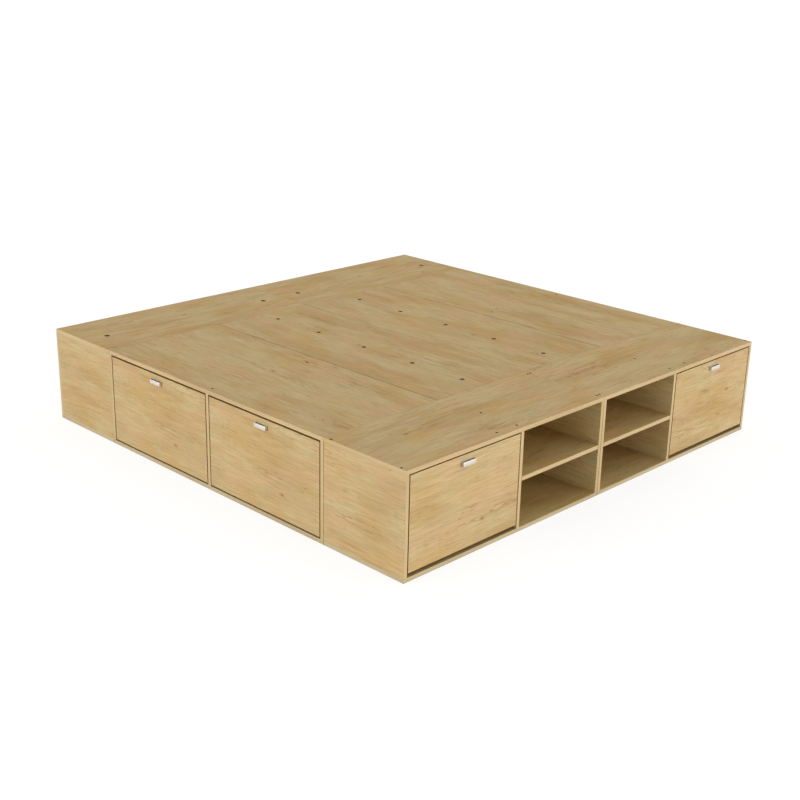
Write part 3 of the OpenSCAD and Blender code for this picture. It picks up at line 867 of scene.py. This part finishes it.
def arc(radius, start, end, steps, centre=(0, 0)):
    """Points on an arc, its angles in degrees."""
    angles = (math.radians(start + (end - start) * i / steps) for i in range(steps + 1))
    return [(centre[0] + radius * math.cos(a), centre[1] + radius * math.sin(a)) for a in angles]


def with_recess(mesh, outline, depth, top):
    """Cuts a socket or a cross into a head."""
    blank = add("blank", mesh)
    tool = add("tool", prism(outline, top - depth, top + 0.001))
    boolean = blank.modifiers.new("recess", "BOOLEAN")
    boolean.object, boolean.solver, boolean.operation = tool, "EXACT", "DIFFERENCE"
    made = bake(blank)
    bpy.data.objects.remove(tool)
    return made


HEX = arc(0.0024, 0, 300, 5)
ARM, HALF = 0.0016, 0.0004
CROSS = [(x * c - y * s, x * s + y * c) for c, s in ((1, 0), (0, 1), (-1, 0), (0, -1))
         for x, y in ((ARM, -HALF), (ARM, HALF), (HALF, HALF))]
bolt_half = [
    (0.0039, 0.0), (0.0039, 0.0151), (0.007, 0.0151), (0.007, 0.016), (0.0065, 0.0168), (0.0048, 0.0173)]
joining_bolt = turned([(r, -z) for r, z in reversed(bolt_half)] + bolt_half[1:], 32)
for _ in range(2):
    joining_bolt = with_recess(joining_bolt, HEX, 0.0016, 0.0173)
    joining_bolt.transform(Matrix.Rotation(math.pi, 4, "X"))
SHAPES = {name: helper(name, shape) for name, shape in {
    "connector": with_recess(turned([
        (0.0024, -0.048), (0.0025, -0.0145), (0.0034, -0.0138), (0.0035, -0.0029), (0.0047, -0.0016),
        (0.0048, -0.0003), (0.0045, 0.0)], 32), HEX, 0.0024, 0.0),
    "pan_head": with_recess(turned([
        (0.0033, 0.0), (0.0034, 0.0006), (0.0029, 0.0013), (0.0018, 0.0017), (0.0008, 0.0018)], 24),
        CROSS, 0.0012, 0.0018),
    "flat_head": with_recess(turned([
        (0.0016, -0.0022), (0.002, -0.0012), (0.0033, -0.0002), (0.0033, 0.0)], 24), CROSS, 0.0009, 0.0),
    "joining_bolt": joining_bolt,
    "shelf_pin": turned([
        (0.0018, -0.0085), (0.0024, -0.0078), (0.0024, -0.0002), (0.0021, 0.0002), (0.0024, 0.0008),
        (0.0024, 0.007), (0.002, 0.008), (0.001, 0.0085)], 24),
}.items()}
graph, given = new_tree("set_copies", {"Shape": "Object", "Finish": "Material"})
SET_COPIES = finish_tree(graph, placed(graph, given["Geometry"], given["Shape"]), given["Finish"])


def set_copies(name, shape, spots, finish, node, stands_for=True):
    """Copies of a fastener at (place, aim) spots, as one finished piece."""
    mesh = run_tree(SET_COPIES, point_cloud(spots), Shape=SHAPES[shape], Finish=finish)
    mesh.shade_smooth()
    mesh.set_sharp_from_angle(angle=math.radians(32))
    return keep(name, mesh, node, stands_for)


def middle_and_axis(low, high):
    """The middle of a turned solid and the way that it lies."""
    size = high - low
    long = max(range(3), key=lambda axis: size[axis])
    return (low + high) / 2, Vector([float(axis == long) for axis in range(3)])


print(list(SHAPES))

# %% [markdown]
# Each pull has two screws in the floor of its pocket, and each pin points into its
# niche, where the shelf lies on it.
# %% Set the screws, bolts and pins
HEAD_DEPTH = 0.0009
set_copies("connector_screws", "connector", SCREWS, BROWN_STEEL, "carcass_screws")
bolts = [middle_and_axis(*part) for part in loose_parts("joining_bolts")]
set_copies("module_bolts", "joining_bolt", bolts, ZINC, "joining_bolts")
pins = []
for low, high in loose_parts("shelf_pins"):
    middle, axis = middle_and_axis(low, high)
    board = min(loose_parts("front_dividers") + loose_parts("front_inner_sides"),
                key=lambda part: abs((part[0].x + part[1].x) / 2 - middle.x))
    pins.append((middle, axis * math.copysign(1, middle.x - (board[0].x + board[1].x) / 2)))
set_copies("niche_shelf_pins", "shelf_pin", pins, ZINC, "shelf_pins")
for drawer in DRAWERS:
    way, _ = towards(drawer)
    heads = []
    for low, high in PULL_PARTS[drawer][:-1]:
        middle, axis = middle_and_axis(low, high)
        heads.append((middle + way * ((high - low).dot(axis) / 2 - HEAD_DEPTH), way))
    set_copies(f"pull_screws_{drawer}", "pan_head", heads, SCREW_STEEL, f"{drawer}_pull", stands_for=False)
print(len(SCREWS), "connector screws,", len(pins), "pins")

# %% [markdown]
# ## Drawer slides
#
# Each drawer runs on two ball-bearing slides, and a slide is three zinc-plated rails
# that telescope. Such a rail is rolled from sheet, so its corners are round, and its
# web is punched with round holes and slots for the screws. The section is a single
# face. Geometry Nodes draw it out to the rail's length and punch it with cutters set
# along a line, so one tree makes every rail.
# %% A tree that rolls and punches a rail
RAIL_SHEET = 0.0012
RAIL_BEND = 0.0018
HOLE_PITCH = 0.05
HOLE_SHIFT = 0.012


def rail_section(height, depth):
    """The C section as one face at X = 0, with its web on Z = 0 and its lips up."""
    half, inner = height / 2, RAIL_BEND - RAIL_SHEET
    left, right = (RAIL_BEND - half, RAIL_BEND), (half - RAIL_BEND, RAIL_BEND)
    outline = [(-half, depth)] + arc(RAIL_BEND, 180, 270, 4, left) + arc(RAIL_BEND, 270, 360, 4, right)
    outline += [(half, depth), (half - RAIL_SHEET, depth)]
    outline += arc(inner, 360, 270, 3, right) + arc(inner, 270, 180, 3, left) + [(RAIL_SHEET - half, depth)]
    mesh = bpy.data.meshes.new("section")
    mesh.from_pydata([(0, y, z) for y, z in outline], [], [list(range(len(outline)))])
    return mesh


def make_roller():
    graph, given = new_tree("rolled_rail", {
        "Length": "Float", "Pitch": "Float", "Punch": "Object", "Finish": "Material"})
    drawn = graph.node("GeometryNodeExtrudeMesh", {"mode": "FACES"}, {
        "Mesh": given["Geometry"], "Offset": (1, 0, 0), "Offset Scale": given["Length"], "Individual": False})
    back = graph.node("GeometryNodeFlipFaces", {}, {"Mesh": given["Geometry"]})
    rail = graph.node("GeometryNodeJoinGeometry", {}, {"Geometry": [drawn, back]})
    rail = graph.node("GeometryNodeMergeByDistance", {}, {"Geometry": rail, "Distance": 1e-6})
    step = graph.node("ShaderNodeCombineXYZ", {}, {"X": given["Pitch"]})
    start = graph.node("ShaderNodeCombineXYZ", {}, {"X": given["Pitch"] * 0.5})
    count = graph.math("ROUND", graph.math("DIVIDE", given["Length"], given["Pitch"]))
    line = graph.node(
        "GeometryNodeMeshLine", {"mode": "OFFSET"}, {"Count": count, "Start Location": start, "Offset": step})
    punches = graph.node(
        "GeometryNodeInstanceOnPoints", {}, {"Points": line, "Instance": shape_of(graph, given["Punch"])})
    real = graph.node("GeometryNodeRealizeInstances", {}, {"Geometry": punches})
    return finish_tree(graph, cut_away(graph, rail, real), given["Finish"])


ROLL_RAIL = make_roller()
slot_outline = arc(0.0022, -90, 90, 8, (0.016, 0)) + arc(0.0022, 90, 270, 8, (0.008, 0))
hole_outline = arc(0.0024, 0, 345, 23, (-HOLE_SHIFT, 0))
PUNCH = helper("punch", join("punch", [prism(o, -0.001, 0.003) for o in (slot_outline, hole_outline)], []))
print("rail tree with", len(ROLL_RAIL.nodes), "nodes")

# %% [markdown]
# The rails are found as boxes again. A rail's web lies on the bay's wall, or on the
# drawer box for the innermost one, and three flat screws hold it there.
# %% Make the slides
def rail_place(low, high, bay_middle, on_drawer):
    """The matrix that lays a rail down, its X along the rail and its Z from web to lips."""
    middle, along = middle_and_axis(low, high)
    inward = bay_middle - middle
    inward = (inward - along * inward.dot(along)).normalized()
    out = -inward if on_drawer else inward
    depth = abs((high - low).dot(out))
    start = middle - out * depth / 2 - along * (high - low).dot(along) / 2
    turn = Matrix((along, out.cross(along), out)).transposed().to_4x4()
    return Matrix.Translation(start) @ turn


def rails(name, node, parts, bay_middles, on_drawer, screwed):
    meshes, spots = [], []
    for (low, high), bay_middle in zip(parts, bay_middles):
        place = rail_place(low, high, bay_middle, on_drawer)
        size = sorted(high - low)
        section = rail_section(size[1], size[0])
        mesh = run_tree(ROLL_RAIL, section, Length=size[2], Pitch=HOLE_PITCH, Punch=PUNCH, Finish=ZINC)
        mesh.transform(place)
        meshes.append(mesh)
        count = round(size[2] / HOLE_PITCH)
        for i in (0, count // 2, count - 1):
            spot = place @ Vector(((i + 0.5) * HOLE_PITCH - HOLE_SHIFT, 0, RAIL_SHEET - 0.0001))
            spots.append((spot, place.to_3x3().col[2]))
    keep(name, join(name, meshes, [ZINC]), node)
    if screwed:
        set_copies(f"{name}_screws", "flat_head", spots, SCREW_STEEL, node, stands_for=False)


bays = {}
for drawer in DRAWERS:
    middles, inners = (loose_parts(f"{drawer}_{kind}_rails") for kind in ("middle", "drawer"))
    bays[drawer] = sum(((low + high) / 2 for low, high in middles), Vector()) / 2
    rails(f"middle_rails_{drawer}", f"{drawer}_middle_rails", middles, [bays[drawer]] * 2, False, False)
    rails(f"drawer_rails_{drawer}", f"{drawer}_drawer_rails", inners, [bays[drawer]] * 2, True, True)
cabinet = loose_parts("cabinet_rails")
nearest = [min(bays.values(), key=lambda bay: ((low + high) / 2 - bay).length) for low, high in cabinet]
rails("cabinet_rails_zinc", "cabinet_rails", cabinet, nearest, False, True)
print(len(cabinet), "cabinet rails")

# %% [markdown]
# ## The studio
#
# The light in the photograph is even and has no hard shadow: the upright sides are
# all alike, the top is about a quarter darker, and the niches fall off quickly. So
# much of the light is a white world, dimmer at the horizon than overhead, and four
# low, soft lamps, one a side, lift the upright sides. The lamps shine a little
# across the bed, so that they don't look straight into the niches. The floor is plain
# and pale. To the camera and in the metals it shows white, and it keeps the soft shadow
# of the bed.
# %% World, lamps and floor
HORIZON_LIGHT = 0.50
ZENITH_LIGHT = 0.90
SIDE_LIGHT = 1.72
LAMP_TILT = 88.5
LAMP_ANGLE = 8
LAMPS = ((-66, 1.0), (156, 1.0), (-12, 0.7), (96, 0.4))
FLOOR_RADIUS = 60
FLOOR_SINK = 0.0005
world = bpy.data.worlds.new("studio")
bpy.context.scene.world = world
world.use_nodes = True


def shown(graph):
    """1 for what the camera sees, straight or mirrored in metal, and 0 for what lights the bed."""
    rays = ("Camera", "Glossy", "Transmission")
    direct, mirrored, through = (graph.node("ShaderNodeLightPath", output=f"Is {ray} Ray") for ray in rays)
    return graph.math("MAXIMUM", direct, graph.math("MAXIMUM", mirrored, through))


sky = Graph(world.node_tree)
direction = sky.node("ShaderNodeTexCoord", output="Generated")
height = sky.node("ShaderNodeSeparateXYZ", {}, {0: direction}, output=2)
light = height * height * (ZENITH_LIGHT - HORIZON_LIGHT) + HORIZON_LIGHT
strength = shown(sky) * (1 - light) + light
background = world.node_tree.nodes["Background"]
world.node_tree.links.new(strength.socket, background.inputs["Strength"])
background.inputs["Color"].default_value = (1, 1, 1, 1)

for turn, share in LAMPS:
    lamp = add(f"side_lamp_{turn % 360}", bpy.data.lights.new("side_lamp", "SUN"))
    lamp.data.energy, lamp.data.angle = SIDE_LIGHT * share, math.radians(LAMP_ANGLE)
    lamp.rotation_euler = (math.radians(LAMP_TILT), 0, math.radians(turn + 90))

pale = Finish("pale_floor", roughness=0.9, specular_ior_level=0.0, emission_color=(1, 1, 1, 1))
seen = shown(pale)
pale.set(
    base_color=pale.mix(seen, (0.80, 0.80, 0.80, 1), (0.30, 0.30, 0.30, 1)),
    emission_strength=seen * 0.80,
)
circle = bmesh.new()
bmesh.ops.create_circle(circle, cap_ends=True, segments=96, radius=FLOOR_RADIUS)
floor = add("floor", to_mesh("floor", circle, [pale.material]))
floor.location.z = -FLOOR_SINK

# %% [markdown]
# ## Clearing the helpers
#
# The shapes that only fed the trees are taken away.
# %% Finish
for item in HELPERS:
    bpy.data.objects.remove(item)
